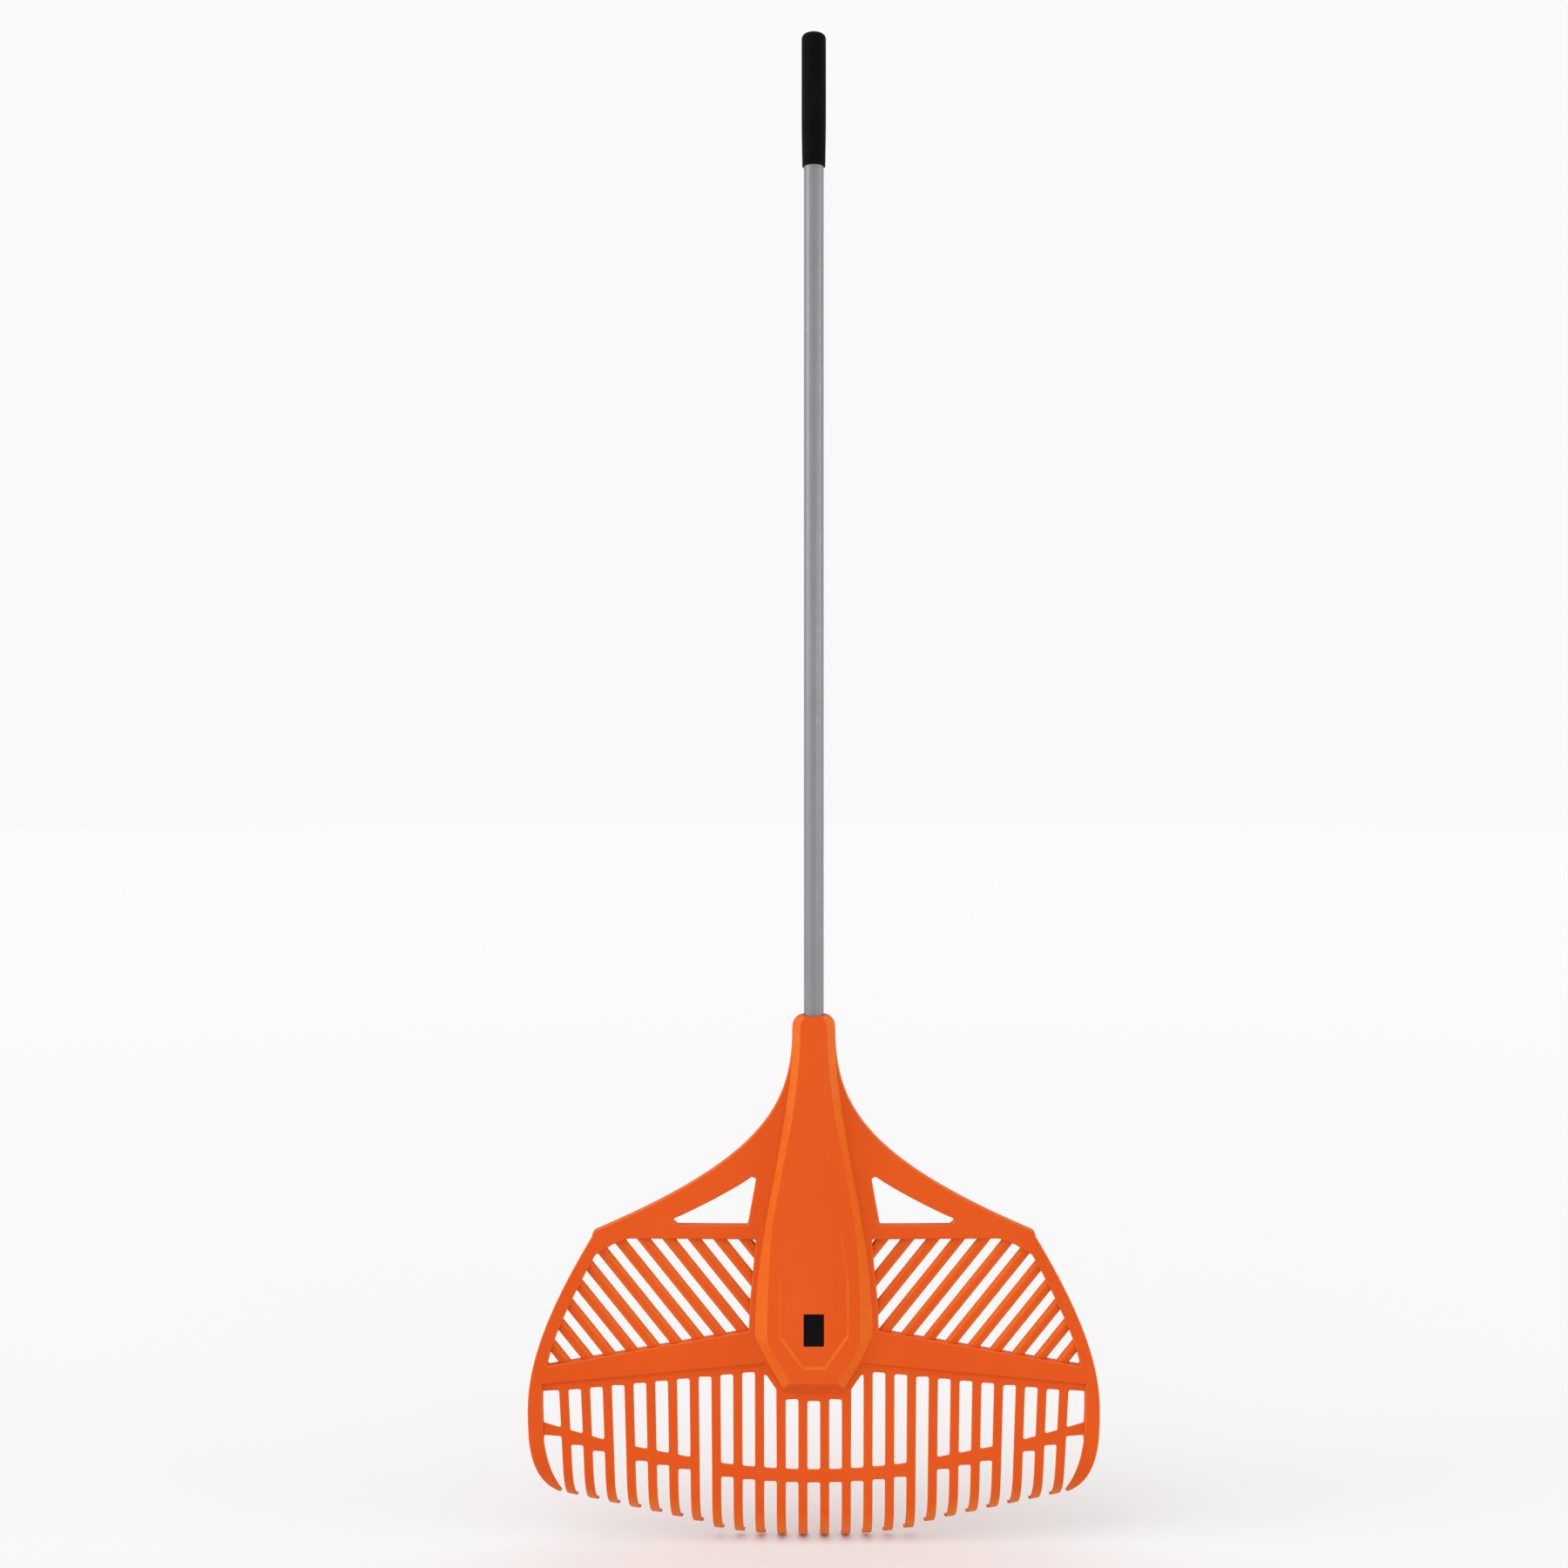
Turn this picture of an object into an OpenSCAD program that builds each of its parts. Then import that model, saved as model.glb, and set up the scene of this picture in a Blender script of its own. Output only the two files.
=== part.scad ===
// Long-handled plastic leaf rake: a moulded fan head on a steel tube with a rubber grip.
// +Z runs up the handle, +X to the right and -Y to the front, the side that the boss
// stands out on. The origin is on the handle's axis, at the middle of the hand grip.
// Heights are drawn from the tine line, which the middle tines' ends just pass.

/* [Handle] */
// Outer diameter of the steel tube
tube_d = 22.2; // [21:0.1:23]
// Wall thickness of the tube
tube_wall = 0.8; // [0.6:0.1:1.5]
// Height of the tube's top end above the tine line
tube_top = 1665; // [1201:4:1701]
// Outer diameter of the grip
grip_d = 27.2; // [26:0.1:30]
// Length of the grip, end cap included
grip_len = 148; // [120:1:180]
// Thickness of the grip's closed end
grip_cap = 5; // [4:0.5:8]

/* [Head] */
// Overall width of the head
head_w = 636; // [630:1:660]
// Height of the socket's mouth above the tine line
socket_z = 581; // [575:1:590]
// Depth of the socket below its mouth
socket_depth = 391; // [385:1:395]
// Thickness of the moulded skins
skin = 2.5; // [2.5:0.25:4]
// Diagonal ribs in each lattice panel
rib_count = 12; // [10:1:12]
// Width of a diagonal rib
rib_w = 11.8; // [8:0.2:13]
// Depth of a diagonal rib
rib_depth = 4.5; // [4:0.5:8]

/* [Tines] */
// Distance between the middles of two tines
pitch = 24.2; // [23.8:0.1:24.5]
// Width of a tine's face
tine_w = 10; // [7:0.1:11]
// Depth of a tine, its back rib included
tine_depth = 8; // [6:0.5:10]
// Radius that a tine's end bends back on
bend_r = 42; // [36:1:46]
// Angle that a tine's end bends back by
bend_angle = 80; // [60:2:84]
// Thickness of the bars that tie the tines together
bar_h = 14.5; // [10:0.5:16]

/* [Hidden] */
$fn = 48;

// Free play of the tube in the head, on the radius, and of the plug's block in its window
fit_gap = 0.1;
block_gap = 0.2;
tube_r = tube_d / 2;
bore_r = tube_r + fit_gap;
socket_floor = socket_z - socket_depth;
// The block of plastic round the socket's mouth: half width and lower end
mouth_x = 20;
mouth_z = 545;
// The lock window in the front of the boss: half width, bottom and top, and its rim
win_x = 11.3;
win_z0 = 215;
win_z1 = 251;
win_rim = 3;
tube_end = win_z1 + 6;
plug_shank = 25;
plug_lip = 2;
grip_top = tube_top + plug_lip + grip_cap;
grip_mid = grip_top - grip_len / 2;
// Rounding of the grip's end and height of the taper at its mouth
grip_round = 6;
grip_taper = 22;

// Depths along Y: the front of each layer, the front being the smaller number
boss_y = -18.5;
step_depth = 0.8;
beam_y = -8;
plate_y = -6;
tine_y = -3;
rib_y = -2;
back_y = 8;

// Half of the head's outline is a chain of cubic curves, each with four control points
wide = head_w / 636;
neck = [[24, 566], [24, 483], [52, 422], [243.5 * wide, 340.5]];
side = [[246.5 * wide, 334], [297.4 * wide, 249.7], [318 * wide, 192], [318 * wide, 140.6]];
heel = [[318 * wide, 140.6], [318 * wide, 122], [316.5 * wide, 104], [311.5 * wide, 86]];
heel_in = [[301.5 * wide, 160], [302 * wide, 132], [300.5 * wide, 108], [297.5 * wide, 86]];
arch = [[156, 354], [136.7, 361.3], [82.7, 389.5], [69, 400.6]];
panel_side = [[247.6 * wide, 305], [258.9 * wide, 283.8], [289 * wide, 228], [296 * wide, 194]];
beam = [[60, 226], [71, 225], [301 * wide, 182], [304 * wide, 169], [60, 195]];

// Half widths and heights of the boss: its foot, its top face and the step in that face
foot_top = [[20, 581], [23.5, 566], [32, 468]];
foot = [[32, 468], [50.7, 364], [63.3, 279], [65.5, 222], [29, 160]];
face_top = [[11, 576], [14.6, 560], [23.3, 468]];
face = [[23.3, 468], [44.6, 351], [50.7, 258], [50.7, 218], [23, 172]];
step = [[13.5, 456], [31, 342], [36, 306], [38.8, 284], [38.8, 223], [13.6, 188]];

// The diagonal ribs: a point on the innermost one, their spacing along X, slope and length
rib_start = [72.8, 325];
rib_step = 28.2;
rib_angle = 51.1;
rib_len = 460;

// A tine's face and the rib behind it: thicknesses, and half widths at the rib's root and edge
last_tine = 11;
face_t = 2.6;
root_t = 3.2;
root_x = 1.4;
edge_x = 1.1;
// The side arm's own end: where it starts, its slope and how far it bends back
arm_end = [304.5 * wide, -1.5, 90];
arm_straight = 6;
arm_lean = 20;
arm_turn = 60;
// The ties between tines, from one point to another
ties = [[[0, 67], [60, 69]], [[60, 69], [110, 75]], [[134, 81], [208, 93]],
    [[232 * wide, 98], [303 * wide, 119]]];

function bezier(c, n) = [for (i = [0 : n]) let (t = i / n, s = 1 - t)
    s * s * s * c[0] + 3 * s * s * t * c[1] + 3 * s * t * t * c[2] + t * t * t * c[3]];
function reversed(list) = [for (i = [len(list) - 1 : -1 : 0]) list[i]];
function mirrored(list) = [for (p = reversed(list)) [-p[0], p[1]]];
function both(list) = concat(list, mirrored(list));

// Tines are counted from the middle. Their bends start on a shallow arc, then on a slope
function bend_z(k) = k < 5 ? 31.6 + 0.5 * k * k : 47.3 + 5.3 * (k - 5);
function root_z(k) = k == 0 ? 152 : k < 3 ? 162 : 178 - 1.4 * (k - 3);
function tine_x(k) = (k + 0.5) * pitch;
function tine_lean(k) = 2.9 * pow(tine_x(k) / 280, 2);

// An upright outline in X and Z, given thickness from one depth to another
module slab(y0, y1) {
    translate([0, y1, 0]) rotate([90, 0, 0]) linear_extrude(y1 - y0) children();
}

module mirror_pair() {
    children();
    mirror([1, 0, 0]) children();
}

// The head above the tines, filled: neck, shoulders and sides down to the slots
module shell_2d() {
    polygon(both(concat([[19.7, 577.6], [23.4, 571]], bezier(neck, 14), bezier(side, 10),
        [[301.5 * wide, 140.6], [300 * wide, 162], [64, 182.5], [44, 180], [44, 155]])));
}

// The window between the neck and the shoulder bar
module arch_window_2d() {
    polygon(concat(bezier(arch, 6), [[64, 398], [73.5, 347], [150, 347]]));
}

// The window that holds the diagonal ribs
module lattice_window_2d() {
    polygon(concat([[64.5, 331], [212, 331], [224, 325], [242.5 * wide, 313.5]],
        bezier(panel_side, 6), [[72, 229], [71, 261], [68, 292]]));
}

module windows_2d() {
    mirror_pair() {
        arch_window_2d();
        lattice_window_2d();
    }
}

module framed_2d() {
    difference() {
        shell_2d();
        windows_2d();
    }
}

// The ribs run a little way into the wall round their window
module diagonal_ribs() {
    intersection() {
        slab(rib_y, rib_y + rib_depth)
            for (i = [0 : rib_count - 1])
                translate([rib_start[0] + rib_step * i, rib_start[1]]) rotate(rib_angle)
                    translate([40 - rib_len, -rib_w / 2]) square([rib_len, rib_w]);
        slab(rib_y - 1, back_y) offset(delta = 1) lattice_window_2d();
    }
}

// A tine's section: a flat face with a rib behind it
module tine_profile() {
    polygon([[-tine_w / 2, 0], [tine_w / 2, 0], [tine_w / 2, face_t], [root_x, root_t],
        [edge_x, tine_depth], [-edge_x, tine_depth], [-root_x, root_t], [-tine_w / 2, face_t]]);
}

// A tine that hangs from the origin, straight at first and then bent back
module tine(straight, lean, turn) {
    rotate([0, lean, 0]) {
        translate([0, tine_y, -straight]) linear_extrude(straight + 1) tine_profile();
        translate([0, tine_y + bend_r, -straight]) rotate([0, 90, 0]) rotate([0, 0, -90])
            rotate_extrude(angle = turn, $fn = 96)
                translate([bend_r, 0]) rotate(90) tine_profile();
    }
}

module tines() {
    for (k = [0 : last_tine])
        translate([tine_x(k) * wide, 0, root_z(k)])
            tine(root_z(k) - bend_z(k), tine_lean(k), bend_angle);
}

module tie_bar(from, to) {
    half = [0, bar_h / 2];
    slab(tine_y + 0.3, tine_y + 5) polygon([from + half, to + half, to - half, from - half]);
}

// The arm on each side, which ends as the outermost tine
module side_arm() {
    slab(plate_y + 0.5, back_y - 2.5)
        polygon(concat(bezier(heel, 8), reversed(bezier(heel_in, 8))));
    translate(arm_end) tine(arm_straight, arm_lean, arm_turn);
}

// A stretch of the boss, which slopes in from its foot to its face
module boss_part(foot_edge, face_edge) {
    hull() {
        slab(plate_y - 1, plate_y) polygon(both(foot_edge));
        slab(boss_y, boss_y + 1) polygon(both(face_edge));
    }
}

// The skin, with a wall round it and round each window, and the hollow behind it
module shell() {
    difference() {
        union() {
            slab(plate_y, back_y) framed_2d();
            boss_part(foot_top, face_top);
            boss_part(foot, face);
        }
        slab(plate_y + skin, back_y + 1) offset(delta = -skin) framed_2d();
        slab(boss_y + skin, plate_y + skin + 1) polygon(both([for (p = face) p - [2 * skin, 0]]));
    }
}

// The sleeve that the tube stands in, the block at its mouth and the lock window's rim
module socket() {
    translate([0, 0, socket_floor - 4]) cylinder(r = bore_r + skin, h = socket_depth);
    slab(-bore_r, bore_r) translate([-mouth_x, mouth_z])
        square([2 * mouth_x, socket_z - mouth_z - 4]);
    slab(boss_y + 1, 2) translate([-win_x - win_rim, win_z0 - win_rim])
        square([2 * (win_x + win_rim), win_z1 - win_z0 + 2 * win_rim]);
}

module rake_head() {
    color("orangered")
    difference() {
        union() {
            shell();
            socket();
            mirror_pair() {
                slab(beam_y, plate_y + 1) polygon(beam);
                diagonal_ribs();
                tines();
                for (tie = ties) tie_bar(tie[0], tie[1]);
                side_arm();
            }
        }
        translate([0, 0, socket_floor]) cylinder(r = bore_r, h = socket_depth + 10);
        slab(boss_y - 2, 0) translate([-win_x, win_z0]) square([2 * win_x, win_z1 - win_z0]);
        slab(boss_y - 1, boss_y + step_depth) polygon(both(step));
    }
}

module handle_tube() {
    color("darkgray")
    translate([0, 0, tube_end]) difference() {
        cylinder(r = tube_r, h = tube_top - tube_end);
        translate([0, 0, -1]) cylinder(r = tube_r - tube_wall, h = tube_top - tube_end + 2);
    }
}

// Half of the grip's section, with a rounded end and a slight taper to the mouth
module grip_section() {
    grip_r = grip_d / 2;
    arc = [for (a = [0 : 15 : 90]) [grip_r, grip_len] + grip_round * [cos(a) - 1, sin(a) - 1]];
    polygon(concat([[0, 0], [grip_r - 1.4, 0], [grip_r - 0.6, 1], [grip_r, grip_taper]], arc,
        [[0, grip_len]]));
}

module grip() {
    color("black")
    translate([0, 0, grip_top - grip_len]) difference() {
        rotate_extrude() grip_section();
        translate([0, 0, -1]) cylinder(r = tube_r, h = grip_len - grip_cap + 1);
    }
}

// The plug that keeps the tube's cut edge off the grip's closed end
module tube_top_plug() {
    color("dimgray") {
        translate([0, 0, tube_top - plug_shank]) cylinder(r = tube_r - tube_wall, h = plug_shank);
        translate([0, 0, tube_top]) cylinder(r = tube_r, h = plug_lip);
    }
}

// The plug in the tube's lower end, whose block stands in the boss's window
module lock_plug() {
    block_x = win_x - block_gap;
    color("black") {
        translate([0, 0, socket_floor + 2]) cylinder(r = tube_r, h = tube_end - socket_floor - 2);
        translate([0, 0, tube_end]) cylinder(r = tube_r - tube_wall, h = plug_shank);
        slab(boss_y + 2, 0) translate([-block_x, win_z0 + block_gap])
            square([2 * block_x, win_z1 - win_z0 - 2 * block_gap]);
    }
}

// Puts a piece drawn from the tine line up into the frame whose origin is the grip's middle
module placed() {
    translate([0, 0, -grip_mid]) children();
}

placed() rake_head();
placed() handle_tube();
placed() grip();
placed() tube_top_plug();
placed() lock_plug();
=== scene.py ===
"""Leaf rake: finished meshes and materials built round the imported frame.

Shapes are drawn in millimetres, with X to the right, Y to the back and heights counted up
from the line that the middle tines reach in the drawing. place() then moves a piece up into
the frame, whose origin is the middle of the hand grip, and turns it into metres.
"""
import math

import bmesh
import bpy
from mathutils import Matrix, Vector


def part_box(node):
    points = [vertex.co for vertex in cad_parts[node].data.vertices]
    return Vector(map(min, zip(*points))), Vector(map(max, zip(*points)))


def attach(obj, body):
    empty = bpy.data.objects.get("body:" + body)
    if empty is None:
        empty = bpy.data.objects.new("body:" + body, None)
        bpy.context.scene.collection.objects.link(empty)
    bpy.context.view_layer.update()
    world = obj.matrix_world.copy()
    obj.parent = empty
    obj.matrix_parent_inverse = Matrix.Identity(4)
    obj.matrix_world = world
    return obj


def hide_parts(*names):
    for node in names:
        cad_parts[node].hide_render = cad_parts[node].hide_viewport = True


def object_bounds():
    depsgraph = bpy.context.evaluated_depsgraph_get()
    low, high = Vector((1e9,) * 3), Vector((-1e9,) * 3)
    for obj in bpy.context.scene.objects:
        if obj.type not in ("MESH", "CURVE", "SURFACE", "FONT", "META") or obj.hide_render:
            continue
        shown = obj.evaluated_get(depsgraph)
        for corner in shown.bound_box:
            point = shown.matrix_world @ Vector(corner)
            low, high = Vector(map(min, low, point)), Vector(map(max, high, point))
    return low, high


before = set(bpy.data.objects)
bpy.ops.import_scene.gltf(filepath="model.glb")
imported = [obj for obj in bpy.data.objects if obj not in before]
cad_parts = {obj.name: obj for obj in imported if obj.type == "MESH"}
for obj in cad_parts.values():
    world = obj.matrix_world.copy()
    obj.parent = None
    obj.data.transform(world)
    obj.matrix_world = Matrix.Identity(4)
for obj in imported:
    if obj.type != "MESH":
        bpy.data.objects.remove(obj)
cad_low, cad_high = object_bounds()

MM = 0.001
SOCKET_TOP = 581.0
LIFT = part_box("rake_head")[1].z / MM - SOCKET_TOP
BODY = "root"

# ---------------------------------------------------------------- camera

CAMERA_DISTANCE = 2200.0
CAMERA_HEIGHT = 837.0
VIEW_WIDTH = 1746.0
SENSOR = 36.0


def make_camera():
    """A camera square in front of the rake, level with the middle of the handle."""
    data = bpy.data.cameras.new("camera")
    data.sensor_width = SENSOR
    data.lens = SENSOR * CAMERA_DISTANCE / VIEW_WIDTH
    data.shift_x = -0.019
    data.clip_end = 100
    camera = bpy.data.objects.new("camera", data)
    camera.location = (0, -CAMERA_DISTANCE * MM, (CAMERA_HEIGHT + LIFT) * MM)
    camera.rotation_euler = (math.radians(90), 0, 0)
    bpy.context.scene.collection.objects.link(camera)
    bpy.context.scene.camera = camera


make_camera()

# ---------------------------------------------------------------- drawing tools


def bezier(c, n):
    """Points along a cubic curve with four control points."""
    points = []
    for i in range(n + 1):
        t = i / n
        s = 1 - t
        w = (s ** 3, 3 * s * s * t, 3 * s * t * t, t ** 3)
        points.append((sum(w[j] * c[j][0] for j in range(4)), sum(w[j] * c[j][1] for j in range(4))))
    return points


def fillet(points, steps=5):
    """A closed outline whose points (x, z, r) with a radius become arcs; the others stay."""
    made = []
    n = len(points)
    for i, p in enumerate(points):
        if len(p) < 3 or p[2] <= 0:
            made.append((p[0], p[1]))
            continue
        here = Vector(p[:2])
        a = (Vector(points[i - 1][:2]) - here)
        b = (Vector(points[(i + 1) % n][:2]) - here)
        reach_a, reach_b = a.length, b.length
        a.normalize()
        b.normalize()
        half = a.angle(b) / 2
        cut = min(p[2] / math.tan(half), reach_a * 0.49, reach_b * 0.49)
        r = cut * math.tan(half)
        centre = here + (a + b).normalized() * (r / math.sin(half))
        start, end = here + a * cut - centre, here + b * cut - centre
        turn = start.angle_signed(end)
        for j in range(steps + 1):
            v = start.copy()
            v.rotate(Matrix.Rotation(-turn * j / steps, 2))
            made.append((centre.x + v.x, centre.y + v.y))
    return made


def inset(points, d):
    """A closed outline moved inwards by d; a negative d moves it outwards."""
    if area(points) < 0:
        d = -d
    made = []
    n = len(points)
    for i in range(n):
        p, q, r = (Vector(points[j % n][:2]) for j in (i - 1, i, i + 1))
        u, v = (q - p).normalized(), (r - q).normalized()
        nu, nv = Vector((-u.y, u.x)), Vector((-v.y, v.x))
        m = nu + nv
        m = m / max(m.length_squared / 2, 0.3)
        made.append((q.x + m.x * d, q.y + m.y * d))
    return made


def area(points):
    return sum(p[0] * q[1] - q[0] * p[1] for p, q in zip(points, points[1:] + points[:1])) / 2


def mirrored(points):
    """The same outline on the other side of the middle, in reverse order."""
    return [(-p[0],) + tuple(p[1:]) for p in reversed(points)]


def both(points):
    return list(points) + mirrored(points)


def new_object(name, mesh):
    obj = bpy.data.objects.new(name, mesh)
    bpy.context.scene.collection.objects.link(obj)
    return obj


def mesh_of(name, verts, faces):
    mesh = bpy.data.meshes.new(name)
    mesh.from_pydata(verts, [], faces)
    bm = bmesh.new()
    bm.from_mesh(mesh)
    bmesh.ops.recalc_face_normals(bm, faces=bm.faces)
    bm.to_mesh(mesh)
    bm.free()
    return new_object(name, mesh)


def evaluated(obj):
    """Replaces an object's mesh by its mesh with the modifiers applied."""
    depsgraph = bpy.context.evaluated_depsgraph_get()
    mesh = bpy.data.meshes.new_from_object(obj.evaluated_get(depsgraph))
    obj.modifiers.clear()
    old = obj.data
    obj.data = mesh
    if old.users == 0:
        bpy.data.meshes.remove(old)
    return obj


def prism(name, outlines, y0, y1, bevel=0.8, steps=2):
    """A slab between two depths with rounded edges; the outlines after the first are holes."""
    curve = bpy.data.curves.new(name, "CURVE")
    curve.dimensions = "2D"
    curve.fill_mode = "BOTH"
    curve.extrude = (y1 - y0) / 2 - bevel
    curve.bevel_depth = bevel
    curve.bevel_resolution = steps
    curve.offset = -bevel
    for i, points in enumerate(outlines):
        points = list(points)
        if (area(points) < 0) != (i > 0):
            points.reverse()
        spline = curve.splines.new("POLY")
        spline.points.add(len(points) - 1)
        for s, p in zip(spline.points, points):
            s.co = (p[0], p[1], 0, 1)
        spline.use_cyclic_u = True
    flat = bpy.data.objects.new(name, curve)
    bpy.context.scene.collection.objects.link(flat)
    depsgraph = bpy.context.evaluated_depsgraph_get()
    mesh = bpy.data.meshes.new_from_object(flat.evaluated_get(depsgraph))
    bpy.data.objects.remove(flat)
    bpy.data.curves.remove(curve)
    mesh.transform(Matrix.Translation((0, (y0 + y1) / 2, 0)) @ Matrix.Rotation(math.radians(90), 4, "X"))
    bm = bmesh.new()
    bm.from_mesh(mesh)
    bmesh.ops.remove_doubles(bm, verts=bm.verts, dist=0.001)
    bmesh.ops.recalc_face_normals(bm, faces=bm.faces)
    bm.to_mesh(mesh)
    bm.free()
    mesh.materials.clear()
    return new_object(name, mesh)


def combine(target, other, how="UNION"):
    """Joins, cuts or intersects two closed pieces and drops the second."""
    modifier = target.modifiers.new("cut", "BOOLEAN")
    modifier.operation = how
    modifier.object = other
    modifier.solver = "MANIFOLD"
    evaluated(target)
    mesh = other.data
    bpy.data.objects.remove(other)
    bpy.data.meshes.remove(mesh)
    return target


def joined(name, objects):
    """Several closed pieces that don't touch, as one object."""
    bm = bmesh.new()
    for obj in objects:
        bm.from_mesh(obj.data)
        mesh = obj.data
        bpy.data.objects.remove(obj)
        bpy.data.meshes.remove(mesh)
    mesh = bpy.data.meshes.new(name)
    bm.to_mesh(mesh)
    bm.free()
    return new_object(name, mesh)


def loft(name, rings):
    """A closed skin through rings of the same number of points, capped at both ends."""
    n = len(rings[0])
    verts = [p for ring in rings for p in ring]
    faces = [[j * n + i, j * n + (i + 1) % n, (j + 1) * n + (i + 1) % n, (j + 1) * n + i]
             for j in range(len(rings) - 1) for i in range(n)]
    faces.append(list(range(n)))
    faces.append([len(verts) - n + i for i in range(n)])
    return mesh_of(name, verts, faces)


def lathe(name, profile, segments=96):
    """A piece turned about the handle's axis from (radius, height) points; radius 0 closes it."""
    verts, rings = [], []
    for r, z in profile:
        if r == 0:
            rings.append([len(verts)])
            verts.append((0, 0, z))
            continue
        rings.append(list(range(len(verts), len(verts) + segments)))
        for i in range(segments):
            a = 2 * math.pi * i / segments
            verts.append((r * math.cos(a), r * math.sin(a), z))
    faces = []
    closed = len(rings[0]) > 1 and len(rings[-1]) > 1
    for j in range(len(rings) - (0 if closed else 1)):
        a, b = rings[j], rings[(j + 1) % len(rings)]
        for i in range(segments):
            k = (i + 1) % segments
            if len(a) == 1:
                faces.append([a[0], b[i], b[k]])
            elif len(b) == 1:
                faces.append([a[i], a[k], b[0]])
            else:
                faces.append([a[i], a[k], b[k], b[i]])
    return mesh_of(name, verts, faces)


def place(obj, smooth=35):
    """Moves a finished piece from the drawing into the frame, in metres, and smooths it."""
    mesh = obj.data
    mesh.transform(Matrix.Scale(MM, 4) @ Matrix.Translation((0, 0, LIFT)))
    mesh.shade_smooth()
    mesh.set_sharp_from_angle(angle=math.radians(smooth))
    weighted = obj.modifiers.new("normals", "WEIGHTED_NORMAL")
    weighted.keep_sharp = True
    evaluated(obj)
    return obj

# ---------------------------------------------------------------- the head's drawing

WALL = 2.5
BORE_R = 11.3
BORE_FLOOR = 188.0
SOCKET_MOUTH = 578.4
BOSS_Y = -18.5
PLATE_Y = -6.0
TINE_Y = -3.0
RIB_Y = -2.2
BACK_Y = 8.0

NECK = [(24, 566), (24, 483), (52, 422), (243.5, 340.5)]
SIDE = [(246.5, 334), (297.4, 249.7), (318, 192), (318, 140.6)]
HEEL = [(318, 140.6), (318, 104), (315, 64), (282.5, 51.8)]
HEEL_IN = [(301.8, 165), (302.5, 118), (300, 80), (279.5, 55)]
ARCH = [(156, 354), (136.7, 361.3), (82.7, 389.5), (69, 400.6)]
PANEL_SIDE = [(247.6, 305), (258.9, 283.8), (289, 228), (296, 194)]

PITCH = 24.2
TINE_W = 10.2
TINE_TOP = 165.0
BEND_R = 42.0
BEND_ANGLE = math.radians(80)
BEND_LENGTH = BEND_R * BEND_ANGLE + 3.0
# Fitted by trial to the tine ends in the photograph: how fast the fold lines tilt towards the
# sides, and how far each tine after the seventh spreads outwards again
FOLD_SLOPE = math.radians(12) / 280
TIP_SPREAD = 0.75
SPREAD_AFTER = 6
ARM_TOP = 103.0
ARM_LENGTH = 51.0
ARM_REACH = 28.0
OPEN_GAPS = (4, 8)
# Heights below which the bent ends get the painted highlight, and over which it fades in
ENDS_BELOW = 70.0
ENDS_FADE = 40.0
LAST = 11
BAR_H = 14.3


def bend_z(k):
    """Height where tine k starts to bend back: on a shallow arc and then on a slope."""
    return 31.6 + 0.5 * k * k if k < 5 else 47.3 + 5.3 * (k - 5)


def corner(x0, x1, z0, z1, n=8):
    """A quarter of an ellipse from its flat top to its upright side."""
    turns = [math.pi / 2 * i / n for i in range(n + 1)]
    return [(x0 + (x1 - x0) * math.sin(t), z0 + (z1 - z0) * math.cos(t)) for t in turns]


def tine_x(k, z):
    """Middle of tine k at a height: the outer tines lean inwards more."""
    x = (k + 0.5) * PITCH
    lean = math.radians(2.9 * (x / 280) ** 2)
    return x - max(TINE_TOP - z, 0) * math.tan(lean)


def bar_z(x):
    """Middle height of the tie bar that crosses x."""
    if x < 122:
        return 67.2 + 0.00067 * x * x
    if x < 220:
        return 82 + 0.19 * (x - 143.6)
    return 102.4 + 0.287 * (x - 240.6)


def slot_top(k):
    if k < 1:
        return 150.5 if k < 0 else 152.5
    return 182.4 - 2.35 * (k - 2)


def frame_outline():
    """Right half of the raised layer's edge, from the socket down to the boss's foot."""
    top = corner(11, 23.9, 567, 581)
    shoulder = [(244.9, 339.6), (246.3, 337)]
    tip = [(281, 51.9), (279.6, 53.2)]
    return (top + bezier(NECK, 28) + shoulder + bezier(SIDE, 20) + bezier(HEEL, 18)[1:] + tip
            + list(reversed(bezier(HEEL_IN, 18))) + [(302.5, 169.8), (53.4, 193.3), (29.1, 160.7)])


def arch_window(r=2.2):
    return fillet([(p[0], p[1]) if i not in (0, 10) else (p[0], p[1], r)
                   for i, p in enumerate(bezier(ARCH, 10))]
                  + [(64.1, 398.5, r), (73.6, 346.5, r), (151.5, 347, r), (155.5, 350, 0)])


def lattice_window(r=2.0):
    side = bezier(PANEL_SIDE, 10)
    return fillet([(64.6, 330.8, r), (206, 331.8, 6), (224, 325, 6), (242.8, 313.6, 3)]
                  + side[:-1] + [(297.2, 190, r), (72.2, 229.2, r), (71.1, 261.4), (68, 292)])


def tine_edge(k, z, sign):
    return (tine_x(k, z) + sign * TINE_W / 2, z)


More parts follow.
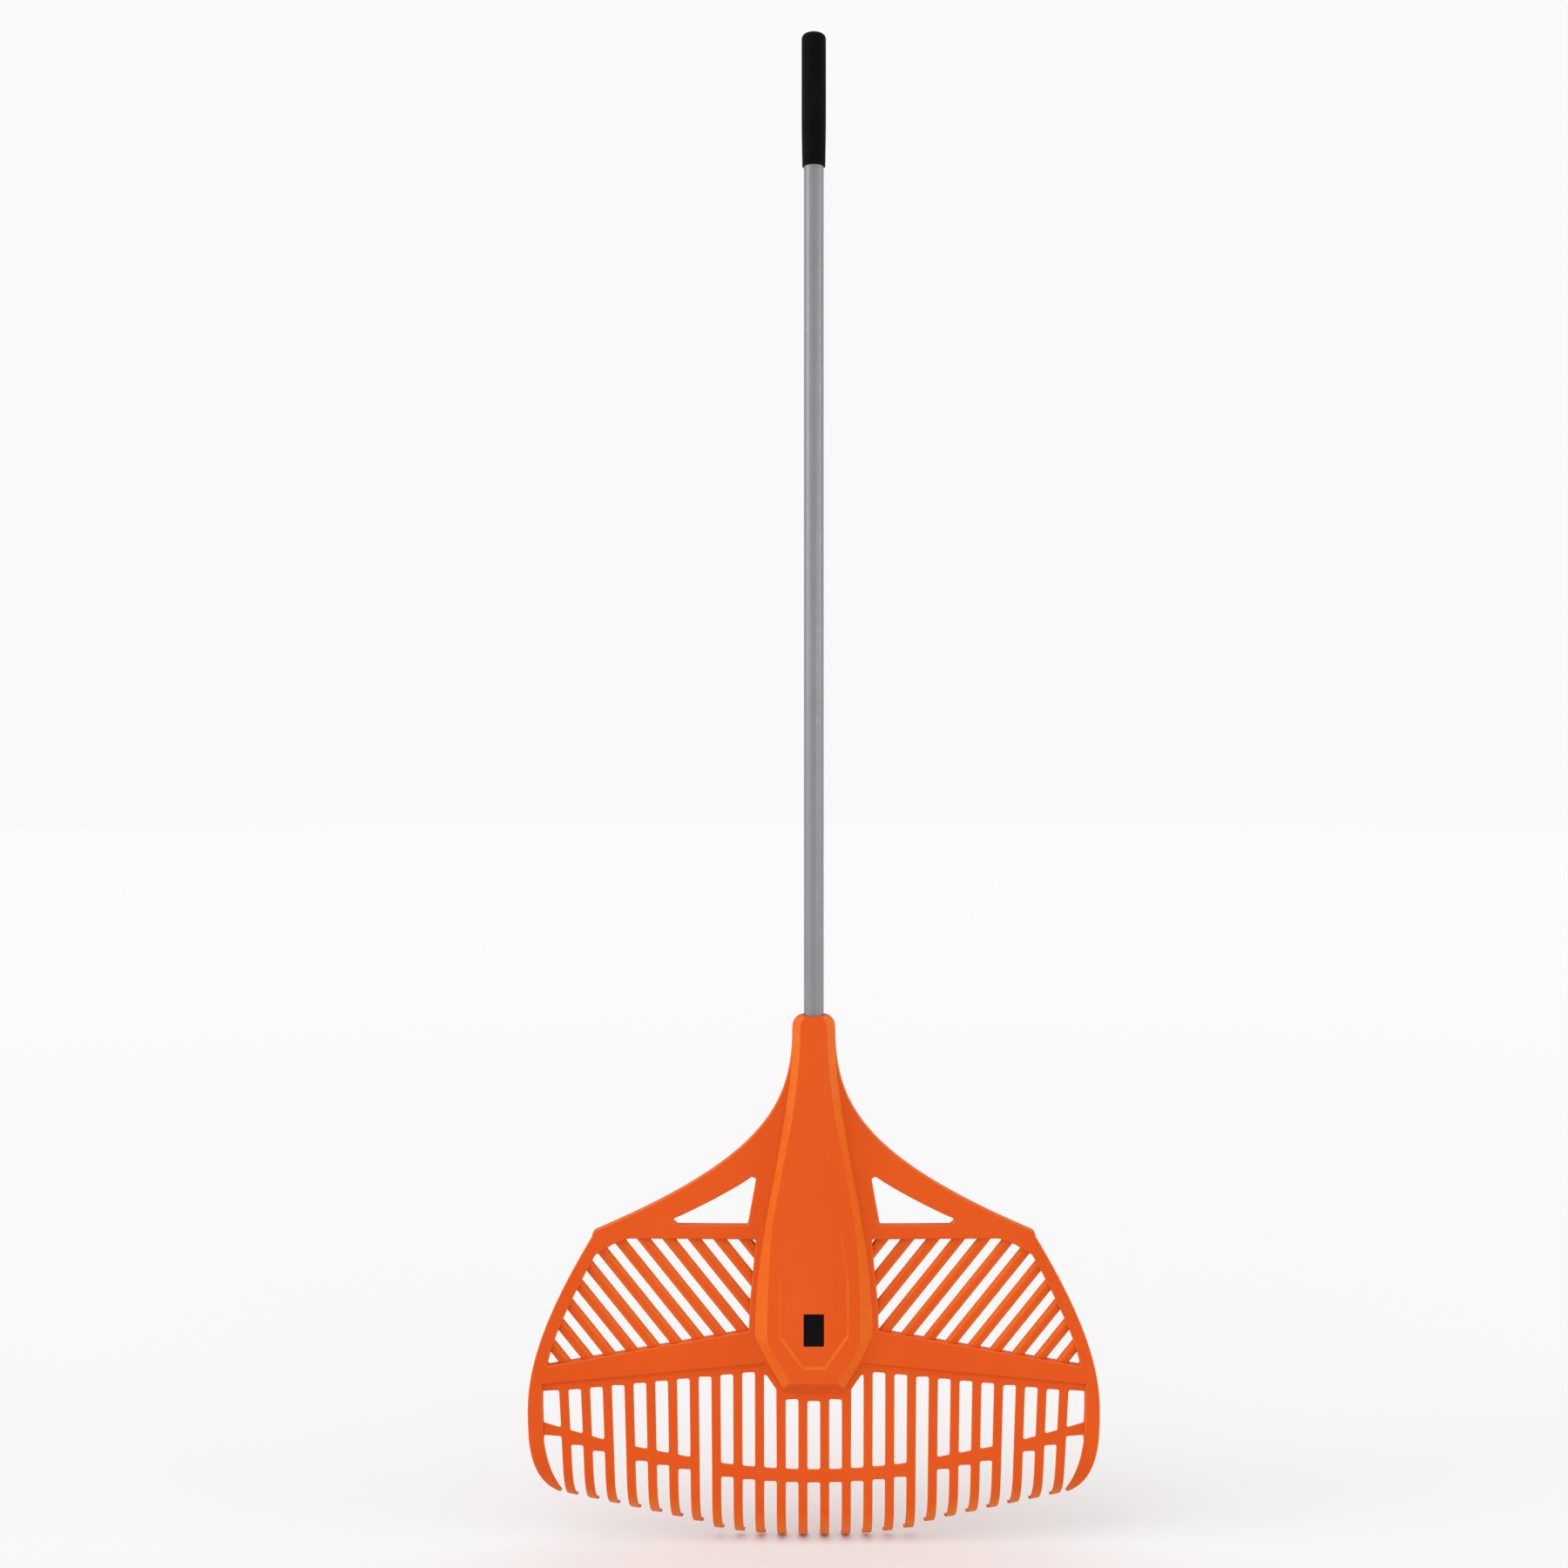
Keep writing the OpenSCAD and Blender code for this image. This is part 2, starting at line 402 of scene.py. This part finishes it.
def tine_outline():
    """Right half of the tine layer's edge: down and up each tine, over the tie bars."""
    points = [(0, bar_z(0) - BAR_H / 2)]
    for k in range(LAST + 1):
        tip = bend_z(k) - BEND_LENGTH
        rise = TINE_W * math.tan(FOLD_SLOPE * tine_x(k, 100))
        if k in [g + 1 for g in OPEN_GAPS]:
            root = slot_top(k - 1)
        else:
            root = bar_z(tine_x(k, 100) - TINE_W) - BAR_H / 2
        points.append(tine_edge(k, root, -1) + (2.2,))
        points.append(tine_edge(k, tip, -1) + (1.2,))
        points.append(tine_edge(k, tip + rise, 1) + (2.5,))
        if k in OPEN_GAPS:
            root = slot_top(k)
        elif k < LAST:
            root = bar_z(tine_x(k, 100) + TINE_W) - BAR_H / 2
        else:
            root = bar_z(297) - BAR_H / 2
        points.append(tine_edge(k, root, 1) + (2.2,))
    points.append((303.5, bar_z(303.5) - BAR_H / 2))
    return points + [(304.5, 150), (304.5, 176), (52, 203), (40, 178)]


def slots():
    """Right half of the closed slots above the tie bars, the middle one left out."""
    made = []
    for k in range(LAST + 1):
        if k in OPEN_GAPS:
            continue
        top = slot_top(k)
        left, right = tine_x(k, 100) + 5, tine_x(k + 1, 100) - 5
        if k == LAST:
            corners = [(tine_edge(k, 168, 1)[0], 162.8, 2.2), (301.6, 161.8, 2.2)]
            corners.append((301.9, bar_z(302) + BAR_H / 2, 0.6))
        elif k == 1:
            corners = [(41.8, 163.7, 2.2), (52.8, 179.6, 2.5), tine_edge(2, 179.6, -1) + (2.2,)]
        else:
            corners = [tine_edge(k, top + 0.4, 1) + (2.4,), tine_edge(k + 1, top - 0.4, -1) + (2.4,)]
        if k != LAST:
            corners.append(tine_edge(k + 1, bar_z(right) + BAR_H / 2, -1) + (2.2,))
        corners.append(tine_edge(k, bar_z(left) + BAR_H / 2, 1) + (2.2,))
        made.append(corners)
    return made


def middle_slot():
    x = tine_x(0, 100) - TINE_W / 2
    low = bar_z(x) + BAR_H / 2
    return [(-x, 150.5, 2.4), (x, 150.5, 2.4), (x, low, 2.2), (-x, low, 2.2)]


# Boss: half widths and heights round its foot and round its face, point for point
FOOT = corner(11, 23.6, 566, 580.6)
FOOT += [(23.9, 548), (26.4, 510), (32.2, 468), (41.4, 414), (50.9, 364), (58, 320)]
FOOT += [(63, 279), (65, 248), (65.6, 224), (62.5, 216.5), (34.5, 166), (30.5, 163.2)]
FACE = corner(8, 14.6, 568, 578.5)
FACE += [(14.9, 548), (17.8, 510), (23.6, 468), (34.6, 410), (44.6, 356), (48.4, 318)]
FACE += [(50.2, 279), (50.9, 248), (51, 222), (49, 217), (24.5, 176), (21.5, 174.5)]
# The lock window in the boss: half width, lower and upper edge, and the frame round it
WINDOW_X = 11.3
WINDOW_LOW = 215.0
WINDOW_HIGH = 251.0
WINDOW_FRAME = 3.0
POCKET_DEPTH = 1.9
POCKET_WALL = 3.2
STEP = [(13.8, 458, 1), (31.4, 342, 14), (38.9, 290, 20), (38.9, 226, 3), (12.6, 190, 1.5)]


def ring(points, y):
    return [(x, y, z) for x, z in points]


def boss_solid(name, foot, face, face_y, foot_y):
    """A body that slopes from its foot up to a flat face with a rounded edge."""
    rings = [ring(both(foot), foot_y)]
    for t in (0.0, 0.05, 0.5, 0.86, 0.92, 0.96, 0.985, 1.0):
        outline = [(a[0] + (b[0] - a[0]) * t, a[1] + (b[1] - a[1]) * t) for a, b in zip(foot, face)]
        rise = t if t <= 0.86 else 0.86 + 0.14 * math.sin((t - 0.86) / 0.14 * math.pi / 2)
        rings.append(ring(both(outline), PLATE_Y - 0.5 + (face_y - PLATE_Y + 0.5) * rise))
    soft = inset(both(face), 1.2)
    rings.append(ring(soft, face_y - 0.12))
    return loft(name, rings)


def shrunk(points, d):
    """The boss's outline moved inwards: down at the mouth, up at the bottom, in everywhere."""
    return [(x - d, z - d if z > 560 else z + d if z < 180 else z) for x, z in points]


def pocket():
    """The cutter for the shallow pocket in the boss's face, which fades out towards the top."""
    corners = both(STEP)
    inner = [(x, z, p[2]) for (x, z), p in zip(inset(corners, POCKET_WALL), corners)]
    edge = fillet(corners)
    top, bottom = STEP[0][1], STEP[-1][1]
    slope = POCKET_DEPTH / (top - bottom)
    floor = [(x, BOSS_Y + slope * (top + 2 - z), z) for x, z in fillet(inner)]
    return loft("pocket", [ring(edge, BOSS_Y - 3), ring(edge, BOSS_Y + 0.02), floor])


def web(name, path, y0, y1, width=2.2):
    """A thin upright rib behind the front skin: a strip along (x, z) points with a back edge y1(i)."""
    rings = []
    for i, (x, z) in enumerate(path):
        a = Vector(path[max(i - 1, 0)])
        b = Vector(path[min(i + 1, len(path) - 1)])
        n = (b - a).normalized()
        nx, nz = -n.y * width / 2, n.x * width / 2
        d = y1[i] if isinstance(y1, (list, tuple)) else y1
        s = 0.6
        rings.append([(x - nx, y0, z - nz), (x + nx, y0, z + nz), (x + nx * s, d, z + nz * s),
                      (x - nx * s, d, z - nz * s)])
    return loft(name, rings)


def diagonal_ribs():
    """Twelve bars with round fronts and hollow backs, cut to the window they cross."""
    slope = math.radians(51.1)
    along = Vector((math.cos(slope), math.sin(slope)))
    across = Vector((-along.y, along.x))
    section = []
    for i in range(13):
        a = math.pi * i / 12
        section.append((5.9 * math.cos(a), 3.4 - 5.4 * math.sin(a) ** 0.8))
    section += [(-5.9, 4.6), (-4.3, 4.6), (-4.1, 1.8), (4.1, 1.8), (4.3, 4.6), (5.9, 4.6)]
    bars = []
    for i in range(12):
        middle = Vector((72.8 + 28.2 * i, 325))
        ends = [middle - along * 420, middle + along * 50]
        rings = []
        for e in ends:
            rings.append([(e.x + across.x * u, RIB_Y + 2.0 + v, e.y + across.y * u) for u, v in section])
        bars.append(loft("rib", rings))
    bars = joined("ribs", bars)
    window = prism("window", [inset(lattice_window(), -1.4)], -9, 9, 0.05, 0)
    return combine(bars, window, "INTERSECT")


def mirror_copy(obj):
    mesh = obj.data.copy()
    mesh.transform(Matrix.Scale(-1, 4, (1, 0, 0)))
    mesh.flip_normals()
    return new_object(obj.name, mesh)


def raised_layer():
    """Skin, neck, shoulders, beams and side arms, hollow from behind with a wall all round."""
    outline = both(frame_outline())
    arch, lattice = arch_window(), lattice_window()
    windows = [arch, mirrored(arch), lattice, mirrored(lattice)]
    body = prism("body", [outline] + windows, PLATE_Y, BACK_Y, 1.7, 3)
    boss = boss_solid("boss", FOOT, FACE, BOSS_Y, -2.0)
    combine(body, boss)
    cavity = [inset(outline, WALL)] + [inset(w, -WALL) for w in windows]
    combine(body, prism("cavity", cavity, PLATE_Y + WALL, BACK_Y + 6, 0.5, 1), "DIFFERENCE")
    inner = boss_solid("inner", shrunk(FOOT, WALL), shrunk(FACE, WALL), BOSS_Y + WALL, 4.0)
    combine(body, inner, "DIFFERENCE")
    combine(body, pocket(), "DIFFERENCE")
    return body


def socket():
    """The sleeve that the tube stands in, with a rim at its mouth."""
    r = BORE_R + WALL
    foot = BORE_FLOOR - 2
    profile = [(0, foot), (r, foot), (r, 565), (r + 1.5, 570), (r + 1.5, SOCKET_MOUTH - 0.8)]
    return lathe("socket", profile + [(r + 0.8, SOCKET_MOUTH), (0, SOCKET_MOUTH)], 96)


def bend_tine(x, y, z, k):
    """Rolls a point of tine k back round a fold line that climbs outwards with the row of tips."""
    middle = tine_x(k, bend_z(k))
    slope = FOLD_SLOPE * middle
    s = (bend_z(k) + (x - middle) * math.tan(slope) - z) * math.cos(slope)
    if s <= 0:
        return x, y, z
    a = min(s / BEND_R, BEND_ANGLE)
    extra = s - a * BEND_R
    rho = BEND_R - (y - TINE_Y)
    down = rho * math.sin(a) + extra * math.cos(a) - s
    spread = TIP_SPREAD * max(k - SPREAD_AFTER, 0) * (s / BEND_LENGTH) ** 2
    return (x + down * math.sin(slope) + spread, TINE_Y + BEND_R - rho * math.cos(a) + extra * math.sin(a),
            z - down * math.cos(slope))


def bend_arm(x, y, z):
    """Sweeps a point of a side arm back and thins the arm towards its tip."""
    s = max(ARM_TOP - z, 0) / ARM_LENGTH
    thin = 1 - 0.72 * min(s, 1) ** 1.5
    y = PLATE_Y + (y - PLATE_Y) * thin + ARM_REACH * s * s
    far = 1 + (y - PLATE_Y) / CAMERA_DISTANCE
    return x * far, y, CAMERA_HEIGHT - (CAMERA_HEIGHT - z) * far


def bend(mesh):
    """Bends the ends of the tines and side arms back, each from its own height."""
    for v in mesh.vertices:
        x, z = abs(v.co.x), v.co.z
        if z > 110:
            continue
        k = min(range(LAST + 1), key=lambda i: abs(tine_x(i, z) - x))
        if x > tine_x(LAST, z) + TINE_W / 2 + 1.4:
            made = bend_arm(x, v.co.y, z)
        else:
            made = bend_tine(x, v.co.y, z, k)
        v.co = (math.copysign(made[0], v.co.x), made[1], made[2])


def cut_across(mesh, low, high, step):
    bm = bmesh.new()
    bm.from_mesh(mesh)
    z = low
    while z < high:
        geom = [g for g in list(bm.verts) + list(bm.edges) + list(bm.faces)]
        bmesh.ops.bisect_plane(bm, geom=geom, plane_co=(0, 0, z), plane_no=(0, 0, 1))
        z += step
    bm.to_mesh(mesh)
    bm.free()


def tine_layer():
    """The tine plate with its tines and tie bars; the ribs behind them are added separately."""
    right = slots()
    holes = [fillet(middle_slot())] + [fillet(s) for s in right] + [fillet(mirrored(s)) for s in right]
    plate = prism("tines", [fillet(both(tine_outline()))] + holes, TINE_Y, 0.2, 0.9, 2)
    return plate


def tine_webs():
    webs = []
    for k in range(LAST + 1):
        tip = bend_z(k) - BEND_LENGTH
        top = 176 if k < 2 else slot_top(k) + 6
        heights = [top, 100, 70, 40, tip + 4]
        path = [(tine_x(k, z), z) for z in heights]
        webs.append(web("web", path, -1.2, [5.2, 5.2, 5.0, 4.2, 1.6]))
    return joined("webs", webs)


def bar_webs():
    spans = [(0, 111), (132, 207), (228.5, 302)]
    webs = []
    for a, b in spans:
        path = [(a + (b - a) * i / 6, bar_z(a + (b - a) * i / 6)) for i in range(7)]
        webs.append(web("bar_web", path, -1.2, 3.4, 2.0))
    return joined("bar_webs", webs)


def mark_slope_highlights(mesh):
    """Marks slopes and rounded edges for a painted highlight: a paler, yellower colour that stands in for
    the light they catch.
    """
    pale = mesh.attributes.new("pale", "FLOAT", "FACE")
    side_wall, flat, fade, facing_down = 0.25, 0.98, 0.1, -0.4
    for face in mesh.polygons:
        tilt = abs(face.normal.y)
        if tilt > side_wall and face.normal.z > facing_down:
            pale.data[face.index].value = min(max((flat - tilt) / fade, 0), 1)


def mark_end_highlights(mesh):
    """Marks the ends of the tines and side arms for the same painted highlight, more the further they turn
    down: it stands in for light from below.
    """
    pale = mesh.attributes["pale"]
    for face in mesh.polygons:
        if face.center.z < ENDS_BELOW and face.normal.y < 0.1:
            turned = min(max((-face.normal.z - 0.08) / 0.6, 0), 1)
            tone = 1.5 * turned * min((ENDS_BELOW - face.center.z) / ENDS_FADE, 1)
            pale.data[face.index].value = max(pale.data[face.index].value, tone)


def around_window(gap):
    """The lock window's four corners, moved outwards by gap."""
    x = WINDOW_X + gap
    low, high = WINDOW_LOW - gap, WINDOW_HIGH + gap
    return [(-x, low), (x, low), (x, high), (-x, high)]


def rake_head():
    """The whole moulding: put together flat, then cut across and bent at its lower edge."""
    body = raised_layer()
    combine(body, tine_layer())
    for make in (diagonal_ribs, tine_webs, bar_webs):
        part = make()
        other = mirror_copy(part)
        combine(body, part)
        combine(body, other)
    combine(body, socket())
    combine(body, prism("window_frame", [around_window(WINDOW_FRAME)], BOSS_Y + 2.2, 0, 0.3, 1))
    top = SOCKET_MOUTH + 20
    profile = [(0, BORE_FLOOR), (BORE_R, BORE_FLOOR), (BORE_R, SOCKET_MOUTH - 2)]
    profile += [(BORE_R + 1.1, SOCKET_MOUTH + 1), (BORE_R + 1.1, top), (0, top)]
    combine(body, lathe("bore", profile, 96), "DIFFERENCE")
    window = fillet([point + (0.8,) for point in around_window(0)])
    combine(body, prism("lock_window", [window], -30, 0, 0.05, 0), "DIFFERENCE")
    mark_slope_highlights(body.data)
    cut_across(body.data, -30, 106, 3.0)
    bend(body.data)
    mark_end_highlights(body.data)
    body.name = "head_moulding"
    return place(body)

# ---------------------------------------------------------------- handle pieces

TUBE_R = 11.1
GRIP_R = 13.6
GRIP_ROUND = 6.0
GRIP_CAP = 5.4
GRIP_TAPER = 0.75
TAPER_LENGTH = 60.0
LIP_R = 0.8
TUBE_WALL = 0.8
TUBE_END = 257.0


def from_frame(node):
    """Lowest and highest height of a CAD node, in the drawing's millimetres."""
    low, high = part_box(node)
    return low.z / MM - LIFT, high.z / MM - LIFT


def handle_tube():
    """The steel tube, with softened cut ends."""
    low, high = from_frame("handle_tube")
    heights = [low + (high - low) * i / 24 for i in range(25)]
    outer = [(TUBE_R - 0.2, low)] + [(TUBE_R, z) for z in [low + 0.2] + heights[1:-1] + [high - 0.2]]
    outer += [(TUBE_R - 0.2, high), (TUBE_R - TUBE_WALL, high), (TUBE_R - TUBE_WALL, low)]
    return place(lathe("tube_shaft", outer, 128))


def grip():
    """The sleeve over the tube's top: a closed round end, a long slight taper and a soft mouth."""
    low, high = from_frame("grip")
    mouth_r = GRIP_R - GRIP_TAPER
    bore_r = TUBE_R + 0.02
    profile = [(0, high - GRIP_CAP), (bore_r, high - GRIP_CAP), (bore_r, low + 0.5)]
    profile.append((TUBE_R + 0.3, low + 0.1))
    for a in (0.0, 0.4, 0.8, 1.2, 1.57):
        profile.append((mouth_r - LIP_R + LIP_R * math.sin(a), low + LIP_R - LIP_R * math.cos(a)))
    for i in range(1, 21):
        t = i / 20
        widening = GRIP_TAPER * math.sin(t * math.pi / 2)
        profile.append((mouth_r + widening, low + LIP_R + TAPER_LENGTH * t))
    straight = high - low - TAPER_LENGTH - 8
    profile += [(GRIP_R, low + TAPER_LENGTH + straight * i / 12) for i in range(1, 13)]
    for i in range(13):
        a = math.pi / 2 * i / 12
        profile.append((GRIP_R + GRIP_ROUND * (math.cos(a) - 1), high + GRIP_ROUND * (math.sin(a) - 1)))
    return place(lathe("grip_sleeve", profile + [(0, high + 0.05)], 128))


def lock_block():
    """The black plug: a round body under the tube and a block that fills the window."""
    low, high = from_frame("lock_plug")
    shank_r = TUBE_R - 0.85
    profile = [(0, low), (TUBE_R - 0.6, low), (TUBE_R, low + 0.8), (TUBE_R, TUBE_END - 0.1)]
    profile += [(shank_r, TUBE_END), (shank_r, high - 1), (shank_r - 0.75, high), (0, high)]
    body = lathe("plug_lock", profile, 64)
    face = [corner_point + (1,) for corner_point in around_window(-0.2)]
    combine(body, prism("block", [fillet(face)], BOSS_Y + 2.4, 0, 0.7, 2))
    return place(body)

# ---------------------------------------------------------------- materials


def new_material(name):
    material = bpy.data.materials.new(name)
    material.use_nodes = True
    return material, material.node_tree.nodes, material.node_tree.links


def noise(nodes, links, vector, scale, detail=3.0, rough=0.5):
    node = nodes.new("ShaderNodeTexNoise")
    node.inputs["Scale"].default_value = scale
    node.inputs["Detail"].default_value = detail
    node.inputs["Roughness"].default_value = rough
    links.new(vector, node.inputs["Vector"])
    return node.outputs["Fac"]


def remap(nodes, links, value, a, b, low=0.3, high=0.7):
    node = nodes.new("ShaderNodeMapRange")
    node.inputs["From Min"].default_value = low
    node.inputs["From Max"].default_value = high
    node.inputs["To Min"].default_value = a
    node.inputs["To Max"].default_value = b
    links.new(value, node.inputs["Value"])
    return node.outputs["Result"]


def mix(nodes, links, factor, a, b):
    node = nodes.new("ShaderNodeMix")
    node.data_type = "RGBA"
    links.new(factor, node.inputs["Factor"])
    for value, socket_name in ((a, "A"), (b, "B")):
        slot = [s for s in node.inputs if s.name == socket_name and s.type == "RGBA"][0]
        if isinstance(value, tuple):
            slot.default_value = (*value, 1)
        else:
            links.new(value, slot)
    return [s for s in node.outputs if s.type == "RGBA"][0]


def bump(nodes, links, height, strength, distance, normal=None):
    node = nodes.new("ShaderNodeBump")
    node.inputs["Strength"].default_value = strength
    node.inputs["Distance"].default_value = distance
    links.new(height, node.inputs["Height"])
    if normal is not None:
        links.new(normal, node.inputs["Normal"])
    return node.outputs["Normal"]


def object_space(nodes, links, scale=(1, 1, 1)):
    coords = nodes.new("ShaderNodeTexCoord")
    mapping = nodes.new("ShaderNodeMapping")
    mapping.inputs["Scale"].default_value = scale
    links.new(coords.outputs["Object"], mapping.inputs["Vector"])
    return mapping.outputs["Vector"]


def orange_plastic():
    """Moulded polypropylene: flow marks, a fine grain, and a painted highlight, a paler colour on the
    marked faces.
    """
    material, nodes, links = new_material("orange_plastic")
    shader = nodes["Principled BSDF"]
    where = object_space(nodes, links)
    flow = object_space(nodes, links, (1, 1, 0.35))
    clouds = remap(nodes, links, noise(nodes, links, flow, 9, 4, 0.6), 0.0, 1.0)
    colour = mix(nodes, links, clouds, (0.645, 0.0785, 0.0068), (0.685, 0.0905, 0.0085))
    specks = remap(nodes, links, noise(nodes, links, where, 420, 2, 0.6), 0.0, 1.0, 0.62, 0.8)
    colour = mix(nodes, links, specks, colour, (0.70, 0.101, 0.010))
    # Painted highlight: the marked faces are mixed towards a paler, yellower orange, broken up by noise
    # patches
    pale = nodes.new("ShaderNodeAttribute")
    pale.attribute_name = "pale"
    patches = noise(nodes, links, where, 60, 5, 0.65)
    patches = remap(nodes, links, patches, 0.38, 0.60, 0.35, 0.65)
    tone = nodes.new("ShaderNodeMath")
    tone.operation = "MULTIPLY"
    links.new(pale.outputs["Fac"], tone.inputs[0])
    links.new(patches, tone.inputs[1])
    colour = mix(nodes, links, tone.outputs[0], colour, (0.74, 0.175, 0.014))
    links.new(colour, shader.inputs["Base Color"])
    rough = remap(nodes, links, noise(nodes, links, where, 45, 5, 0.6), 0.40, 0.55)
    links.new(rough, shader.inputs["Roughness"])
    grain = bump(nodes, links, noise(nodes, links, where, 1400, 2, 0.5), 0.16, 0.0004)
    sink = bump(nodes, links, noise(nodes, links, where, 26, 2, 0.4), 0.12, 0.002, grain)
    links.new(sink, shader.inputs["Normal"])
    shader.inputs["Specular IOR Level"].default_value = 0.09
    shader.inputs["Subsurface Weight"].default_value = 0.06
    shader.inputs["Subsurface Radius"].default_value = (0.004, 0.0015, 0.0006)
    shader.inputs["Subsurface Scale"].default_value = 1.0
    return material


def grey_coating():
    """Grey powder coating on the tube: orange peel, fine flakes and faint drawn lines."""
    material, nodes, links = new_material("grey_coating")
    shader = nodes["Principled BSDF"]
    where = object_space(nodes, links)
    drawn = object_space(nodes, links, (1, 1, 0.012))
    clouds = remap(nodes, links, noise(nodes, links, where, 14, 4, 0.6), 0.0, 1.0)
    colour = mix(nodes, links, clouds, (0.196, 0.197, 0.208), (0.216, 0.217, 0.229))
    flakes = remap(nodes, links, noise(nodes, links, where, 2600, 1, 0.5), 0.0, 1.0, 0.6, 0.8)
    colour = mix(nodes, links, flakes, colour, (0.235, 0.236, 0.248))
    lines = remap(nodes, links, noise(nodes, links, drawn, 700, 3, 0.6), 0.0, 0.6, 0.55, 0.8)
    colour = mix(nodes, links, lines, colour, (0.170, 0.170, 0.180))
    links.new(colour, shader.inputs["Base Color"])
    rough = remap(nodes, links, noise(nodes, links, where, 120, 4, 0.6), 0.30, 0.42)
    links.new(rough, shader.inputs["Roughness"])
    peel = bump(nodes, links, noise(nodes, links, where, 650, 2, 0.4), 0.10, 0.0006)
    links.new(peel, shader.inputs["Normal"])
    shader.inputs["Metallic"].default_value = 0.25
    shader.inputs["Coat Weight"].default_value = 0.08
    shader.inputs["Coat Roughness"].default_value = 0.2
    return material


def black_rubber():
    """Matt soft grip: a fine pebble grain and a slightly uneven tone."""
    material, nodes, links = new_material("black_rubber")
    shader = nodes["Principled BSDF"]
    where = object_space(nodes, links)
    clouds = remap(nodes, links, noise(nodes, links, where, 30, 4, 0.6), 0.0, 1.0, 0.45, 0.75)
    colour = mix(nodes, links, clouds, (0.0022, 0.0027, 0.0025), (0.0042, 0.0048, 0.0046))
    links.new(colour, shader.inputs["Base Color"])
    rough = remap(nodes, links, noise(nodes, links, where, 60, 4, 0.6), 0.62, 0.8)
    links.new(rough, shader.inputs["Roughness"])
    pebbles = nodes.new("ShaderNodeTexVoronoi")
    pebbles.inputs["Scale"].default_value = 900
    links.new(where, pebbles.inputs["Vector"])
    pores = bump(nodes, links, pebbles.outputs["Distance"], 0.35, 0.0003)
    waves = bump(nodes, links, noise(nodes, links, where, 90, 3, 0.5), 0.15, 0.001, pores)
    links.new(waves, shader.inputs["Normal"])
    shader.inputs["Specular IOR Level"].default_value = 0.03
    shader.inputs["Sheen Weight"].default_value = 0.02
    shader.inputs["Sheen Roughness"].default_value = 0.5
    return material


def black_plastic():
    """The plugs' plain black polypropylene, with a light moulding grain."""
    material, nodes, links = new_material("black_plastic")
    shader = nodes["Principled BSDF"]
    where = object_space(nodes, links)
    clouds = remap(nodes, links, noise(nodes, links, where, 40, 4, 0.6), 0.0, 1.0)
    colour = mix(nodes, links, clouds, (0.002, 0.002, 0.0022), (0.004, 0.004, 0.0042))
    links.new(colour, shader.inputs["Base Color"])
    rough = remap(nodes, links, noise(nodes, links, where, 80, 4, 0.6), 0.5, 0.7)
    links.new(rough, shader.inputs["Roughness"])
    grain = bump(nodes, links, noise(nodes, links, where, 1500, 2, 0.5), 0.2, 0.0003)
    links.new(grain, shader.inputs["Normal"])
    shader.inputs["Specular IOR Level"].default_value = 0.05
    return material


def pale_paper():
    """The floor: matt paper, a little greyer under the rake than far away."""
    material, nodes, links = new_material("pale_paper")
    shader = nodes["Principled BSDF"]
    where = object_space(nodes, links, (1, 1, 0))
    far = nodes.new("ShaderNodeVectorMath")
    far.operation = "LENGTH"
    links.new(where, far.inputs[0])
    away = remap(nodes, links, far.outputs["Value"], 0.0, 1.0, 0.3, 7.0)
    colour = mix(nodes, links, away, (0.805, 0.805, 0.805), (0.825, 0.825, 0.825))
    links.new(colour, shader.inputs["Base Color"])
    shader.inputs["Roughness"].default_value = 0.9
    shader.inputs["Specular IOR Level"].default_value = 0.0
    return material


def finish_piece(obj, material, slot_name, *nodes):
    obj.data.materials.clear()
    obj.data.materials.append(material)
    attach(obj, BODY)
    if nodes:
        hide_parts(*nodes)

# ---------------------------------------------------------------- stage and light


def make_stage():
    """A wide pale floor under the tips of the tines."""
    floor = cad_low.z / MM - LIFT - 0.5
    reach = 40000
    slab = lathe("studio_floor", [(0, floor), (400, floor), (2000, floor), (8000, floor), (reach, floor),
                                  (reach, floor - 50), (0, floor - 50)], 96)
    place(slab)
    slab.data.materials.append(pale_paper())


def panel(name, azimuth, elevation, strength, spread):
    """A light panel far away, given by its direction seen from the rake and its width in degrees."""
    data = bpy.data.lights.new(name, "SUN")
    data.energy = strength
    data.angle = math.radians(spread)
    light = bpy.data.objects.new(name, data)
    a, e = math.radians(azimuth), math.radians(elevation)
    out = Vector((math.sin(a) * math.cos(e), -math.cos(a) * math.cos(e), math.sin(e)))
    light.rotation_mode = "QUATERNION"
    light.rotation_quaternion = out.to_track_quat("Z", "Y")
    bpy.context.scene.collection.objects.link(light)


def make_lights():
    panel("ceiling", -50, 55, 0.5, 50)
    panel("key", -74, 14, 0.80, 30)
    panel("fill", 74, 6, 0.62, 30)
    panel("strip_left", -40, 2, 0.10, 5)
    panel("strip_right", 36, 2, 0.20, 3)
    world = bpy.data.worlds.new("studio")
    world.use_nodes = True
    background = world.node_tree.nodes["Background"]
    background.inputs["Color"].default_value = (1, 1, 1, 1)
    background.inputs["Strength"].default_value = 0.95
    bpy.context.scene.world = world

# ---------------------------------------------------------------- the rake

bpy.context.scene.view_settings.view_transform = "Standard"
plastic = orange_plastic()
black = black_plastic()
head = rake_head()
finish_piece(head, plastic, "head_plastic", "rake_head")
finish_piece(handle_tube(), grey_coating(), "tube_coating", "handle_tube")
finish_piece(grip(), black_rubber(), "grip_rubber", "grip")
finish_piece(lock_block(), black, "plug_plastic", "lock_plug")
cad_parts["tube_top_plug"].data.materials.clear()
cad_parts["tube_top_plug"].data.materials.append(black)
make_stage()
make_lights()
